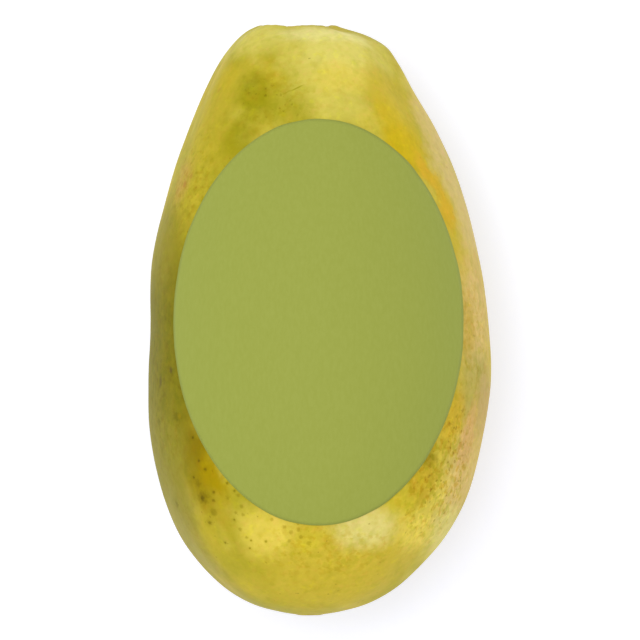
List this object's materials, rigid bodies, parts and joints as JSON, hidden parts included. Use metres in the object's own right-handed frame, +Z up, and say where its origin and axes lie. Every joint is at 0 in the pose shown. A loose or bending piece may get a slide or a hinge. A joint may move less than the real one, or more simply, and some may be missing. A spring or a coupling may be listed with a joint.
{
  "type": "papaya",
  "caption": "Whole ripe papaya lying on its side, faintly ridged, with a shallow stem basin and a blank oval paper label stuck on top.",
  "frame": {"origin": "on the surface that the fruit lies on, under the middle of the fruit's box", "axes": "+Z up, through the middle of the label; +Y along the fruit towards its stem end; +X to the right of someone who looks down on the fruit with its stem end pointing away from them"},
  "size_m": [0.084, 0.1446, 0.0819],
  "materials": {
    "papaya_skin": "satin",
    "label_paper": "matte"
  },
  "bodies": {
    "root": {"papaya_fruit": "papaya_skin", "oval_label": "label_paper"}
  },
  "joints": []
}
